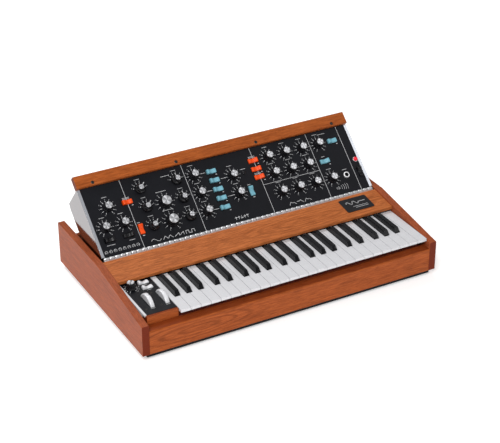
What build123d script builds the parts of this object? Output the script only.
from build123d import *
from math import atan, atan2, cos, degrees, radians, sin, tan
import os

os.makedirs("parts", exist_ok=True)

# Keyboard synthesizer in a wooden case, with a control panel that tilts up on a long hinge.
# Frame: origin on the floor under the middle of the case, +X to the player's right,
# +Y to the back, +Z up. Millimetres. The panel is modelled raised, and closes flat.

# ---------------------------------------------------------------- driving dimensions

WIDTH = 724.0
DEPTH = 436.6
CHEEK_T = 16.4
CHEEK_FRONT_H = 71.2                # cheek heights over the base board
CHEEK_CREST_H = 102.4
CHEEK_CREST_Y = 222.0
CHEEK_BACK_H = 100.2
FOOT_H = 5.0
FOOT_R = 9.0
BASE_T = 9.0
BASE_HALF = 350.0
BASE_SET_IN = 5.0                   # from the front and back of the case

KEY_PITCH = 23.5
KEY_GAP = 1.0
KEYS_LEFT = -267.0
NATURALS = "FGABCDEFGABCDEFGABCDEFGABC"

TILT = 40.9
FACE_H = 168.0
CHASSIS_D = 78.0
CHASSIS_HALF = 343.0
CHASSIS_LOW = 4.8                   # lower edges of the chassis and of the face
FACE_LOW = 3.6
FACE_HALF = 336.0
SHEET = 2.0
REAR_SLOPE_V = 155.4                 # where the chassis floor starts to rise to the back
REAR_SLOPE_RISE = 4.3

KNUCKLES = 53
HINGE_HALF = 340.0
HINGE_R = 3.0
HINGE_PIN_R = 1.2
LEAF_T = 1.2

KNOB_R = 11.0
KNOB_H = 17.0
WIDE_KNOB_R = 14.2
SELECTOR_R = 12.4
SELECTOR_REST = {"range": -45.0, "waveform": 15.0}   # pointer angles, counter-clockwise
SHAFT_R = 3.0
SHAFT_HOLE_R = 3.5
ROCKER_L = 23.2
ROCKER_W = 10.4
ROCKER_SWING = 8.0
JACK_R = 3.2
JACK_HOLE_R = 5.6
CLEAR = 0.4

# ---------------------------------------------------------------- derived places

FRONT = -DEPTH / 2
BACK = DEPTH / 2
DECK = FOOT_H + BASE_T              # underside of the cheeks
INNER = WIDTH / 2 - CHEEK_T         # inner face of each cheek
HINGE_Y = FRONT + 233.4
HINGE_Z = DECK + 102.3
PANEL = Pos(0, HINGE_Y, HINGE_Z) * Rot(X=TILT)

KEY_TOP = DECK + 77.3
KEY_FRONT = FRONT + 12.0
KEY_T = 6.4
SHARP_FRONT = FRONT + 65.0
SHARP_BACK = FRONT + 153.5
SHARP_H = 10.6
SHARP_W = 12.0
SHARP_TOP_W = 9.6
SHARP_BACK_SLOPE = 11.0             # the top falls away before it reaches the name rail
LEVER_W = 6.0
LEVER_TOP = KEY_TOP - KEY_T         # each key is a moulded cap seated on its lever
LEVER_T = 10.0
PIVOT_Y = FRONT + 205.0
PIVOT_Z = DECK + 67.0
PIVOT_R = 2.0

# Sharps sit off the line between their naturals, as on any keyboard.
SHARP_OFFSET = {"C": -3.6, "D": 3.6, "F": -4.4, "G": 0.0, "A": 4.4}

NAME_RAIL_FRONT = 154.8             # behind the front, and heights over the deck
NAME_RAIL_BACK = 228.8
NAME_RAIL_LOW_H = 89.1
NAME_RAIL_HIGH_H = 99.2
BADGE_X = 274.5
BADGE_Y = 196.0
BADGE_SIZE = (71.0, 47.0)
BADGE_CORNER = 4.0
BADGE_T = 1.2

PLATE_TOP = DECK + 77.0
PLATE_T = 3.0
PLATE_X = (-337.0, -267.6)
PLATE_Y = (FRONT + 28.7, FRONT + 170.0)

WHEEL_R = 30.0
WHEEL_W = 9.0
WHEEL_Y = FRONT + 78.7
WHEEL_Z = PLATE_TOP - 15.5
WHEEL_SLOT_HALF = 28.0
WHEEL_NOTCH_ANGLE = 87.0           # finger notch in the rim, just behind the top
WHEEL_AXLE_R = 3.0
WHEELS = {"pitch_wheel": -311.0, "modulation_wheel": -276.5}

# ---------------------------------------------------------------- panel layout
# u runs right from the panel's middle, v up the face from the hinge.

ROW_TOP, ROW_MID, ROW_LOW = 135.5, 91.0, 46.0
ROW_UPPER, ROW_LOWER = 112.5, 68.0

KNOBS = {
    "tune_knob": (-290.0, ROW_UPPER),
    "glide_knob": (-312.0, ROW_LOWER),
    "modulation_mix_knob": (-267.0, ROW_LOWER),
    "osc2_frequency_knob": (-159.3, ROW_MID),
    "osc3_frequency_knob": (-159.3, ROW_LOW),
    "external_volume_knob": (18.3, ROW_UPPER),
    "noise_volume_knob": (18.3, ROW_LOWER),
    "main_volume_knob": (253.0, ROW_TOP),
    "phones_volume_knob": (253.0, ROW_LOW),
}
for number, row in enumerate((ROW_TOP, ROW_MID, ROW_LOW), start=1):
    KNOBS[f"osc{number}_range_knob"] = (-203.3, row)
    KNOBS[f"osc{number}_waveform_knob"] = (-114.0, row)
    KNOBS[f"osc{number}_volume_knob"] = (-71.0, row)
MODIFIER_ROWS = {
    ROW_TOP: ("cutoff_knob", "emphasis_knob", "contour_amount_knob"),
    93.5: ("filter_attack_knob", "filter_decay_knob", "filter_sustain_knob"),
    ROW_LOW: ("loudness_attack_knob", "loudness_decay_knob", "loudness_sustain_knob"),
}
for row, names in MODIFIER_ROWS.items():
    for column, name in enumerate(names):
        KNOBS[name] = (119.5 + 44.7 * column, row)
WIDE_KNOBS = ("osc2_frequency_knob", "osc3_frequency_knob")
SELECTORS = [f"osc{n}_{kind}_knob" for n in (1, 2, 3) for kind in ("range", "waveform")]

# Rocker switches: centres on the face, whether the rocker lies across the panel,
# and which way it is pressed at rest. Switches in one node share one pivot line.
MIXER_ROWS = (ROW_TOP - 0.7, ROW_UPPER, ROW_MID - 0.7, ROW_LOWER, ROW_LOW - 0.7)
ROCKERS = {
    "mixer_switches": ([(-28.0, v) for v in MIXER_ROWS], True, 1),
    "modifier_switches": ([(80.5, v) for v in (ROW_TOP, 114.3, 94.0)], True, -1),
    "osc_modulation_switch": ([(-243.0, ROW_UPPER + 1)], True, 1),
    "keyboard_control_switch": ([(-234.0, ROW_LOW)], False, 1),
    "noise_colour_switch": ([(48.7, ROW_LOWER - 1)], False, 1),
    "main_output_switch": ([(290.4, ROW_TOP)], True, 1),
    "tuning_tone_switch": ([(252.6, ROW_MID)], True, -1),
    "source_switch_left": ([(-311.7, 40.0)], True, 1),
    "source_switch_right": ([(-266.3, 40.0)], True, -1),
    "power_switch": ([(328.4, ROW_LOW)], False, 1),
}
ROCKER_PIVOT_N = -3.4
ROCKER_PIN_R = 1.3

LAMP_OVERLOAD = (48.0, ROW_UPPER)
LAMP_POWER = (329.6, 77.8)
LAMP_R = 5.0
PHONES_JACK = (291.0, ROW_LOW)
REAR_JACK_U = [-270.0 + 50.0 * i for i in range(6)]
REAR_JACK_N = -48.0
JACK_DEPTH = 22.0
INLET_U = 296.0
INLET_HALF = (14.0, 11.0)           # mains inlet's half width and half height
INLET_WALL = 2.2
INLET_PINS = ((-7.0, -2.4), (0.0, 2.6), (7.0, -2.4))

# Left-hand controls on the small plate, as x and y on the plate.
RATE_KNOB = (-322.0, FRONT + 137.4)
PLATE_ROCKER_X = -289.6
PLATE_ROCKER_Y = (FRONT + 126.2, FRONT + 147.8)

# The stay hangs from the chassis and folds flat under it as the panel closes.
STAY_V = 150.0
STAY_N = -81.5
STAY_T = 5.0
STAY_W = 30.0
STAY_PIN_R = 2.0
STAY_FOOT = (FRONT + 414.0, DECK + 52.0)
STAY_FOOT_R = 3.0
LEDGE_ANGLE = 48.97                 # slope of the ledge, along the foot's path
LEDGE_HALF = 34.0
REAR_RAIL_T = 9.0


def on_panel(v, n):
    """Row-frame (y, z) of a panel point v up the face and n out of it."""
    t = radians(TILT)
    return HINGE_Y + v * cos(t) - n * sin(t), HINGE_Z + v * sin(t) + n * cos(t)


STAY_Y, STAY_Z = on_panel(STAY_V, STAY_N)
STAY_REACH = ((STAY_FOOT[0] - STAY_Y) ** 2 + (STAY_FOOT[1] - STAY_Z) ** 2) ** 0.5
STAY_ANGLE = degrees(atan2(STAY_FOOT[1] - STAY_Z, STAY_FOOT[0] - STAY_Y))


# ---------------------------------------------------------------- helpers

def block(x, y, z):
    """Box between the low and high values given for each axis."""
    size = [hi - lo for lo, hi in (x, y, z)]
    middle = [(hi + lo) / 2 for lo, hi in (x, y, z)]
    return Pos(*middle) * Box(*size)


def prism(points, x):
    """Side outline of (y, z) points, extruded between two x values."""
    outline = Polyline(*[(x[0], y, z) for y, z in points], close=True)
    return extrude(Face(outline.wire()), x[1] - x[0], dir=(1, 0, 0))


def rod(x, y, z, radius):
    """Cylinder along X between two x values."""
    return Pos((x[0] + x[1]) / 2, y, z) * Rot(Y=90) * Cylinder(radius, x[1] - x[0])


def post(x, y, z, radius):
    """Cylinder along Z between two z values."""
    return Pos(x, y, (z[0] + z[1]) / 2) * Cylinder(radius, z[1] - z[0])


def save(name, *shapes):
    """Write one node's solids to its own file."""
    solids = [solid for shape in shapes for solid in shape.solids()]
    export_step(Compound(solids), f"parts/{name}.step")


def case_points(points):
    """Side outline given as distance behind the front and height over the deck."""
    return [(FRONT + y, DECK + z) for y, z in points]


# ---------------------------------------------------------------- wooden case

def make_cheek(side):
    outline = case_points([(0, 0), (0, CHEEK_FRONT_H), (CHEEK_CREST_Y, CHEEK_CREST_H),
                           (DEPTH, CHEEK_BACK_H), (DEPTH, 0)])
    low, high = sorted((side * INNER, side * WIDTH / 2))
    cheek = prism(outline, (low, high))
    # Eased long edges along the top.
    top_edges = [e for e in cheek.edges().filter_by(GeomType.LINE)
                 if e.center().Z > DECK + 80 and e.length > 50]
    return fillet(top_edges, 1.6)


def make_front_rail():
    outline = case_points([(0.3, 0), (0.3, 52.8), (2.3, 55.0), (22, 58), (22, 0)])
    return prism(outline, (-INNER, INNER))


def make_left_hand_block():
    outline = case_points([(22.3, 0), (22.3, 58.2), (21.4, 58.2), (21.4, 77), (28.4, 77),
                           (28.4, 73.9), (40, 73.9), (40, 0)])
    return prism(outline, (-340.0, KEYS_LEFT - 0.6))


def make_name_rail():
    outline = case_points([(NAME_RAIL_FRONT, 81), (NAME_RAIL_FRONT, NAME_RAIL_LOW_H),
                           (NAME_RAIL_BACK, NAME_RAIL_HIGH_H), (NAME_RAIL_BACK, 88), (160, 81)])
    rail = prism(outline, (-INNER, INNER))
    front_edges = rail.edges().filter_by(Axis.X).group_by(Axis.Y)[0]
    return fillet(front_edges, 2.6)


def make_badge():
    """Plain name plate lying on the sloping name rail."""
    rise = (NAME_RAIL_HIGH_H - NAME_RAIL_LOW_H) / (NAME_RAIL_BACK - NAME_RAIL_FRONT)
    height = NAME_RAIL_LOW_H + rise * (BADGE_Y - NAME_RAIL_FRONT) + CLEAR / 10
    plate = extrude(RectangleRounded(*BADGE_SIZE, BADGE_CORNER), BADGE_T)
    return Pos(BADGE_X, FRONT + BADGE_Y, DECK + height) * Rot(X=degrees(atan(rise))) * plate


def make_rear_rail():
    wall = block((-INNER, INNER), (BACK - REAR_RAIL_T, BACK), (DECK, DECK + 61))
    # Ledge whose sloping face backs the foot of the stay, parallel to the foot's path.
    y, z = STAY_FOOT
    reach = STAY_FOOT_R + CLEAR
    slope = radians(LEDGE_ANGLE)
    face_y, face_z = y + sin(slope) * reach, z - cos(slope) * reach
    front = face_y - 6
    back = BACK - REAR_RAIL_T
    outline = [(front, face_z - 6 * tan(slope)), (back, face_z + (back - face_y) * tan(slope)),
               (back, DECK + 24), (front, DECK + 30)]
    return wall, prism(outline, (-LEDGE_HALF, LEDGE_HALF))


def make_feet():
    return [post(x, FRONT + y, (0, FOOT_H), FOOT_R) for x in (-310, 310) for y in (45, 400)]


# ---------------------------------------------------------------- keyboard

def key_layout():
    """Each key's kind and span: naturals as (left, right), sharps as a centre."""
    naturals = []
    sharps = []
    for index, note in enumerate(NATURALS):
        left = KEYS_LEFT + KEY_PITCH * index
        naturals.append((left + KEY_GAP / 2, left + KEY_PITCH - KEY_GAP / 2))
        last = index == len(NATURALS) - 1
        if note in SHARP_OFFSET and not last:
            sharps.append(left + KEY_PITCH + SHARP_OFFSET[note])
    return naturals, sharps


def make_lever(x):
    """Steel lever under the name rail, with the hole for the pivot rod."""
    lever = block((x - LEVER_W / 2, x + LEVER_W / 2), (FRONT + 140, PIVOT_Y + 7),
                  (LEVER_TOP - LEVER_T, LEVER_TOP))
    return lever - rod((x - LEVER_W, x + LEVER_W), PIVOT_Y, PIVOT_Z, PIVOT_R + CLEAR)


def make_natural(span, sharps):
    low = KEY_TOP - KEY_T
    key = block(span, (KEY_FRONT, FRONT + 158), (low, KEY_TOP))
    front_edges = key.edges().group_by(Axis.Y)[0].group_by(Axis.Z)[-1]
    key = fillet(front_edges, 1.4)
    left, right = span
    half = SHARP_W / 2 + KEY_GAP
    for x in sharps:
        if x + half > span[0] and x - half < span[1]:
            key -= block((x - half, x + half), (SHARP_FRONT - 1.2, BACK), (low - 1, KEY_TOP + 1))
            if x < (span[0] + span[1]) / 2:
                left = x + half
            else:
                right = x - half
    return key, make_lever((left + right) / 2)


def make_sharp(x):
    low = KEY_TOP - KEY_T
    body = block((x - SHARP_W / 2, x + SHARP_W / 2), (SHARP_FRONT, SHARP_BACK),
                 (low, KEY_TOP + 1.5))
    foot = Pos(0, 0, KEY_TOP + 1.5) * Pos(x, (SHARP_FRONT + SHARP_BACK) / 2) * Rectangle(
        SHARP_W, SHARP_BACK - SHARP_FRONT)
    top_back = SHARP_BACK - SHARP_BACK_SLOPE
    top_front = SHARP_FRONT + 6.5
    top = Pos(x, (top_front + top_back) / 2, KEY_TOP + SHARP_H) * Rectangle(
        SHARP_TOP_W, top_back - top_front)
    return body + loft([foot.face(), top.face()]), make_lever(x)


def make_key_frame():
    """Pressed frame, stop rails, contact strip and the rod that every key hangs on."""
    x = (KEYS_LEFT + 0.6, 343.0)
    tray = block(x, (FRONT + 30, FRONT + 222), (DECK + 28, DECK + 30))
    legs = [post(px, FRONT + y, (DECK, DECK + 28), 6) for px in (-240, 0, 320) for y in (60, 190)]
    stop_rail = block(x, (FRONT + 38, FRONT + 52), (DECK + 30, DECK + 60))
    contact_strip = block(x, (FRONT + 92, FRONT + 108), (DECK + 30, DECK + 58))
    comb = block(x, (FRONT + 214, FRONT + 218), (DECK + 30, DECK + 74))
    end_t = 1.8
    pivot = rod((x[0] + end_t, x[1] - end_t), PIVOT_Y, PIVOT_Z, PIVOT_R)
    ends = [block((px, px + end_t), (FRONT + 198, FRONT + 214), (DECK + 30, DECK + 72))
            for px in (x[0], x[1] - end_t)]
    return [tray, *legs, stop_rail, contact_strip, comb, pivot, *ends]


# ---------------------------------------------------------------- rockers and knobs

def rocker_shape(across):
    """Saddle-shaped rocker in its middle position, centred on its pivot."""
    half = ROCKER_L / 2
    top = 8.6
    valley = 5.3
    with BuildSketch(Plane.XZ) as sketch:
        with BuildLine():
            Polyline((-half, top - 2.2), (-half, -2), (0, -4), (half, -2), (half, top - 2.2))
            ThreePointArc((half, top - 2.2), (half - 0.9, top - 0.6), (half - 3.0, top))
            ThreePointArc((half - 3.0, top), (0, valley), (3.0 - half, top))
            ThreePointArc((3.0 - half, top), (0.9 - half, top - 0.6), (-half, top - 2.2))
        make_face()
    body = extrude(sketch.sketch, ROCKER_W / 2, both=True)
    body -= Rot(X=90) * Cylinder(ROCKER_PIN_R + CLEAR, ROCKER_W + 2)
    return body if across else Rot(Z=90) * body


def rocker_housing(across):
    """Open-topped switch body behind the face, with the rocker's pivot pin."""
    half_l, half_w = ROCKER_L / 2 + 1.6, ROCKER_W / 2 + 0.8
    wall = 1.4
    top = -SHEET - ROCKER_PIVOT_N
    outer = block((-half_l - wall, half_l + wall), (-half_w - wall, half_w + wall), (-12, top))
    inner = block((-half_l, half_l), (-half_w, half_w), (-10.5, top + 1))
    pin = Rot(X=90) * Cylinder(ROCKER_PIN_R, 2 * half_w + wall)
    body = outer - inner + pin
    return body if across else Rot(Z=90) * body


def rocker_tilt(across, side):
    """Rotation that presses one end of a rocker down."""
    return Rot(Y=side * ROCKER_SWING) if across else Rot(X=side * ROCKER_SWING)


def knob_shape(radius, height):
    """Skirted knob with a cap, a pointer nib and its spindle, standing on n = 0."""
    skirt = post(0, 0, (0.6, 3.0), radius)
    body = Pos(0, 0, 3.0) * extrude(Circle(radius - 1.2), height - 4.4, taper=2)
    cap = post(0, 0, (height - 1.4, height), radius - 2.4)
    nib = block((-0.9, 0.9), (radius - 3.2, radius - 0.6), (height - 2.6, height - 0.6))
    spindle = post(0, 0, (-20.0, 0.6), SHAFT_R)
    return skirt + body + cap + nib + spindle


def selector_shape():
    """Bar-pointer knob for the stepped selectors, its pointer up the panel."""
    skirt = post(0, 0, (0.6, 4.0), SELECTOR_R)
    bar = block((-3.6, 3.6), (-SELECTOR_R + 2, SELECTOR_R - 0.6), (4.0, 13.0))
    hub = post(0, 0, (4.0, 14.0), 7.4)
    cap = post(0, 0, (14.0, 15.4), 6.2)
    spindle = post(0, 0, (-20.0, 0.6), SHAFT_R)
    return skirt + bar + hub + cap + spindle


def make_knob(name):
    if name in SELECTORS:
        kind = name.split("_")[1]
        return Rot(Z=SELECTOR_REST[kind]) * selector_shape()
    return knob_shape(WIDE_KNOB_R if name in WIDE_KNOBS else KNOB_R, KNOB_H)


# ---------------------------------------------------------------- left-hand controls

def make_left_hand_plate():
    x0, x1 = PLATE_X
    plate = block(PLATE_X, PLATE_Y, (PLATE_TOP - PLATE_T, PLATE_TOP))
    for x in WHEELS.values():
        half = WHEEL_W / 2 + 0.7
        plate -= block((x - half, x + half),
                       (WHEEL_Y - WHEEL_SLOT_HALF, WHEEL_Y + WHEEL_SLOT_HALF),
                       (PLATE_TOP - 5, PLATE_TOP + 1))
    half_l, half_w = ROCKER_L / 2 + 1.0, ROCKER_W / 2 + 0.6
    housings = []
    for y in PLATE_ROCKER_Y:
        plate -= block((PLATE_ROCKER_X - half_l, PLATE_ROCKER_X + half_l),
                       (y - half_w, y + half_w), (PLATE_TOP - 5, PLATE_TOP + 1))
        at = Pos(PLATE_ROCKER_X, y, PLATE_TOP - PLATE_T + SHEET + ROCKER_PIVOT_N)
        housings.append(at * rocker_housing(True))
    plate -= post(*RATE_KNOB, (PLATE_TOP - 5, PLATE_TOP + 1), SHAFT_HOLE_R)
    pot = post(*RATE_KNOB, (PLATE_TOP - 26, PLATE_TOP - PLATE_T), 8.0)
    pot -= post(*RATE_KNOB, (PLATE_TOP - 22, PLATE_TOP), SHAFT_HOLE_R)
    strip = block((x0 - 5, x0), PLATE_Y, (PLATE_TOP - PLATE_T, PLATE_TOP + 0.6))
    under = PLATE_TOP - PLATE_T
    side_leg = block((x0 - 5, x0 - 3.5), (FRONT + 42, PLATE_Y[1]), (DECK, under))
    rear_leg = block((x0 - 3.5, x1), (PLATE_Y[1] - 1.5, PLATE_Y[1]), (DECK, under))
    # Three cheeks and the common axle that carry both wheels.
    cheek_x = ((-324.0, -322.4), (-296.0, -294.4), (-269.6, -268.0))
    bracket = rod((cheek_x[0][0], cheek_x[2][1]), WHEEL_Y, WHEEL_Z, WHEEL_AXLE_R)
    for span in cheek_x:
        bracket += block(span, (WHEEL_Y - 9, WHEEL_Y + 9), (WHEEL_Z - 8, under))
    return [plate, *housings, pot, strip, side_leg, rear_leg, bracket]


def make_wheel(x):
    wheel = rod((x - WHEEL_W / 2, x + WHEEL_W / 2), WHEEL_Y, WHEEL_Z, WHEEL_R)
    wheel = fillet(wheel.edges(), 1.5)
    wheel -= rod((x - WHEEL_W, x + WHEEL_W), WHEEL_Y, WHEEL_Z, WHEEL_AXLE_R + CLEAR)
    notch = radians(WHEEL_NOTCH_ANGLE)
    reach = WHEEL_R + 3
    return wheel - rod((x - WHEEL_W, x + WHEEL_W), WHEEL_Y + reach * cos(notch),
                       WHEEL_Z + reach * sin(notch), 5.0)


# ---------------------------------------------------------------- hinge

def make_knuckles(first):
    """Every second knuckle of the long hinge, from the first index given."""
    length = 2 * HINGE_HALF / KNUCKLES
    return [(-HINGE_HALF + length * i, -HINGE_HALF + length * (i + 1) - CLEAR)
            for i in range(first, KNUCKLES, 2)]


def make_case_leaf():
    """Leaf screwed to the back of the name rail, with its knuckles and the pin."""
    wood = FRONT + NAME_RAIL_BACK
    under = HINGE_Z - HINGE_R
    leaf = block((-HINGE_HALF, HINGE_HALF), (wood, wood + LEAF_T), (DECK + 86, HINGE_Z - LEAF_T))
    for span in make_knuckles(0):
        leaf += rod(span, HINGE_Y, HINGE_Z, HINGE_R)
        leaf += block(span, (wood, HINGE_Y), (under, under + LEAF_T))
    pin = rod((-HINGE_HALF, HINGE_HALF - CLEAR), HINGE_Y, HINGE_Z, HINGE_PIN_R)
    return leaf + pin


def make_panel_leaf():
    """Leaf riveted to the front of the chassis, in the panel's flat frame."""
    leaf = block((-HINGE_HALF, HINGE_HALF), (FACE_LOW, CHASSIS_LOW), (-14, -SHEET))
    for span in make_knuckles(1):
        leaf += rod(span, 0, 0, HINGE_R)
        leaf += block(span, (0, CHASSIS_LOW), (-HINGE_R - 0.2, -SHEET))
    return leaf - rod((-HINGE_HALF, HINGE_HALF), 0, 0, HINGE_PIN_R + CLEAR)


# ---------------------------------------------------------------- panel, in its flat frame

def make_chassis():
    """Sheet chassis of butted plates: front, floor, rear slope, rear wall, ends, edge strips."""
    low, floor = CHASSIS_LOW, -CHASSIS_D
    slope_v, slope_n = REAR_SLOPE_V, floor + REAR_SLOPE_RISE
    inside = CHASSIS_HALF - SHEET
    span = (-inside, inside)
    front = block(span, (low, low + SHEET), (floor, -SHEET))
    bottom = block(span, (low + SHEET, slope_v), (floor, floor + SHEET))
    slope = prism([(slope_v, floor), (FACE_H, slope_n), (FACE_H, slope_n + SHEET),
                   (slope_v, floor + SHEET)], span)
    rear = block(span, (FACE_H - SHEET, FACE_H), (slope_n + SHEET, -SHEET))
    for u in REAR_JACK_U:
        rear -= Pos(u, FACE_H, REAR_JACK_N) * Rot(X=90) * Cylinder(JACK_HOLE_R, 12)
    half_u, half_n = INLET_HALF[0] + CLEAR / 2, INLET_HALF[1] + CLEAR / 2
    rear -= block((INLET_U - half_u, INLET_U + half_u), (FACE_H - 6, FACE_H + 2),
                  (REAR_JACK_N - half_n, REAR_JACK_N + half_n))
    outline = [(low, -SHEET), (low, floor), (slope_v, floor), (FACE_H, slope_n),
               (FACE_H, -SHEET)]
    plates = [front, bottom, slope, rear]
    for side in (-1, 1):
        end = sorted((side * inside, side * CHASSIS_HALF))
        strip = sorted((side * (FACE_HALF + 0.1), side * CHASSIS_HALF))
        plates.append(prism(outline, end))
        plates.append(block(strip, (low, FACE_H), (-SHEET, 0)))
    return plates


def make_stay_hinge():
    """Two ears and the pin that the stay hangs from, on the back of the chassis."""
    ear_in = STAY_W / 2 + 0.8
    pin = rod((-ear_in - 2, ear_in + 2), STAY_V, STAY_N, STAY_PIN_R)
    ears = pin
    for side in (-1, 1):
        low, high = sorted((side * ear_in, side * (ear_in + 2)))
        ears += block((low, high), (STAY_V - 6, STAY_V + 5), (-86.5, -CHASSIS_D))
    return ears


def make_face_plate():
    face = block((-FACE_HALF, FACE_HALF), (FACE_LOW, FACE_H), (-SHEET, 0))
    through = (-SHEET - 1, 1)
    for u, v in KNOBS.values():
        face -= post(u, v, through, SHAFT_HOLE_R)
    half_l, half_w = ROCKER_L / 2 + 1.0, ROCKER_W / 2 + 0.6
    for places, across, _ in ROCKERS.values():
        du, dv = (half_l, half_w) if across else (half_w, half_l)
        for u, v in places:
            face -= block((u - du, u + du), (v - dv, v + dv), through)
    face -= post(*LAMP_OVERLOAD, through, 3.6)
    face -= post(*LAMP_POWER, through, LAMP_R - 0.8)
    face -= post(*PHONES_JACK, through, JACK_HOLE_R)
    return face


def make_top_rail():
    rail = block((-343.6, 343.6), (FACE_H, 197.0), (-6, 8))
    long_edges = rail.edges().filter_by(Axis.X).group_by(Axis.Z)[-1]
    rail = fillet(long_edges, 1.6)
    screws = []
    for u in (-304.0, -101.6, 101.6, 304.0):
        rail -= post(u, 174.7, (5.6, 9), 4.0)
        head = post(u, 174.7, (5.6, 7.6), 3.8)
        screws.append(head - block((u - 3.8, u + 3.8), (174.2, 175.2), (7.0, 8.0)))
    return [rail, *screws]


def make_electronics():
    """Circuit board, control bodies, switch bodies and the mains transformer."""
    board_top = -25.4
    board = block((-330, 330), (12, 160), (board_top - 1.6, board_top))
    solids = [board]
    for u, v in KNOBS.values():
        pot = post(u, v, (board_top, -SHEET), 8.0)
        solids.append(pot - post(u, v, (-21.5, 0), SHAFT_HOLE_R))
    for places, across, _ in ROCKERS.values():
        for u, v in places:
            solids.append(Pos(u, v, ROCKER_PIVOT_N) * rocker_housing(across))
    solids.append(block((190, 250), (55, 105), (-CHASSIS_D + SHEET, -42)))
    return solids


def make_jack(length):
    """Socket for a quarter-inch plug, its mouth at z = 2.5 and its ring on z = 0."""
    body = post(0, 0, (-length + 2.5, 2.5), 5.2) + post(0, 0, (0, 2.5), 7.2)
    return body - post(0, 0, (-length + 4.5, 3), JACK_R)


def make_inlet():
    """Mains inlet on the rear wall: a back block, four walls round it and three flat pins."""
    half_u, half_n = INLET_HALF
    in_u, in_n = half_u - INLET_WALL, half_n - INLET_WALL
    back, floor, mouth = FACE_H - 22, FACE_H - 17, FACE_H + 1
    u, n = INLET_U, REAR_JACK_N
    parts = [block((u - half_u, u + half_u), (back, floor), (n - half_n, n + half_n))]
    for side in (-1, 1):
        wall_u = sorted((u + side * in_u, u + side * half_u))
        wall_n = sorted((n + side * in_n, n + side * half_n))
        parts.append(block(wall_u, (floor, mouth), (n - half_n, n + half_n)))
        parts.append(block((u - in_u, u + in_u), (floor, mouth), wall_n))
    for du, dn in INLET_PINS:
        parts.append(block((u + du - 1, u + du + 1), (floor, FACE_H - 3),
                           (n + dn - 1.8, n + dn + 1.8)))
    return parts


def make_jacks_and_lamps():
    phones = Pos(*PHONES_JACK, 0) * make_jack(JACK_DEPTH)
    rear = [Pos(u, FACE_H, REAR_JACK_N) * Rot(X=-90) * make_jack(JACK_DEPTH) for u in REAR_JACK_U]
    overload = post(*LAMP_OVERLOAD, (-9, 1.6), 3.3)
    power = post(*LAMP_POWER, (-9, 1.0), LAMP_R - 1.1) + post(*LAMP_POWER, (0, 4.2), LAMP_R)
    power = fillet(power.edges().group_by(Axis.Z)[-1], 2.6)
    return [phones, *rear, overload, power, *make_inlet()]


def make_stay():
    """Flat stay with a rounded foot bar, built from the pivot along +Y, then swung down."""
    stay = block((-STAY_W / 2, STAY_W / 2), (-2.4, STAY_REACH), (-STAY_T / 2, STAY_T / 2))
    stay += rod((-STAY_W / 2, STAY_W / 2), STAY_REACH, 0, STAY_FOOT_R)
    stay -= rod((-STAY_W, STAY_W), 0, 0, STAY_PIN_R + 0.1)
    stay = stay.solids().sort_by(SortBy.VOLUME)[-1]
    return Pos(0, STAY_Y, STAY_Z) * Rot(X=STAY_ANGLE) * stay


# ---------------------------------------------------------------- write every node

def main():
    save("left_cheek", make_cheek(-1))
    save("right_cheek", make_cheek(1))
    save("front_rail", make_front_rail(), make_left_hand_block())
    save("name_rail", make_name_rail(), make_badge())
    save("rear_rail", *make_rear_rail())
    save("base_board", block((-BASE_HALF, BASE_HALF), (FRONT + BASE_SET_IN, BACK - BASE_SET_IN),
                             (FOOT_H, DECK)))
    save("feet", *make_feet())
    save("key_frame", *make_key_frame())
    save("left_hand_plate", *make_left_hand_plate())
    save("hinge_case_leaf", make_case_leaf())

    naturals, sharps = key_layout()
    for name, first in (("naturals_odd", 0), ("naturals_even", 1)):
        keys = [make_natural(span, sharps) for span in naturals[first::2]]
        save(name, *[solid for key in keys for solid in key])
    save("sharps", *[solid for x in sharps for solid in make_sharp(x)])
    for name, x in WHEELS.items():
        save(name, make_wheel(x))

    chassis = [*make_chassis(), make_stay_hinge(), make_panel_leaf()]
    save("panel_chassis", *[PANEL * s for s in chassis])
    save("panel_face", PANEL * make_face_plate())
    save("panel_top_rail", *[PANEL * s for s in make_top_rail()])
    save("panel_electronics", *[PANEL * s for s in make_electronics()])
    save("jacks_and_lamps", *[PANEL * s for s in make_jacks_and_lamps()])
    save("support_stay", make_stay())

    for name, (u, v) in KNOBS.items():
        save(name, PANEL * Pos(u, v, 0) * make_knob(name))
    save("modulation_rate_knob", Pos(*RATE_KNOB, PLATE_TOP) * knob_shape(KNOB_R - 1, KNOB_H + 3))
    for name, (places, across, side) in ROCKERS.items():
        shape = rocker_tilt(across, side) * rocker_shape(across)
        save(name, *[PANEL * Pos(u, v, ROCKER_PIVOT_N) * shape for u, v in places])
    plate_pivot_z = PLATE_TOP - PLATE_T + SHEET + ROCKER_PIVOT_N
    shape = rocker_tilt(True, 1) * rocker_shape(True)
    save("left_hand_switches",
         *[Pos(PLATE_ROCKER_X, y, plate_pivot_z) * shape for y in PLATE_ROCKER_Y])


main()
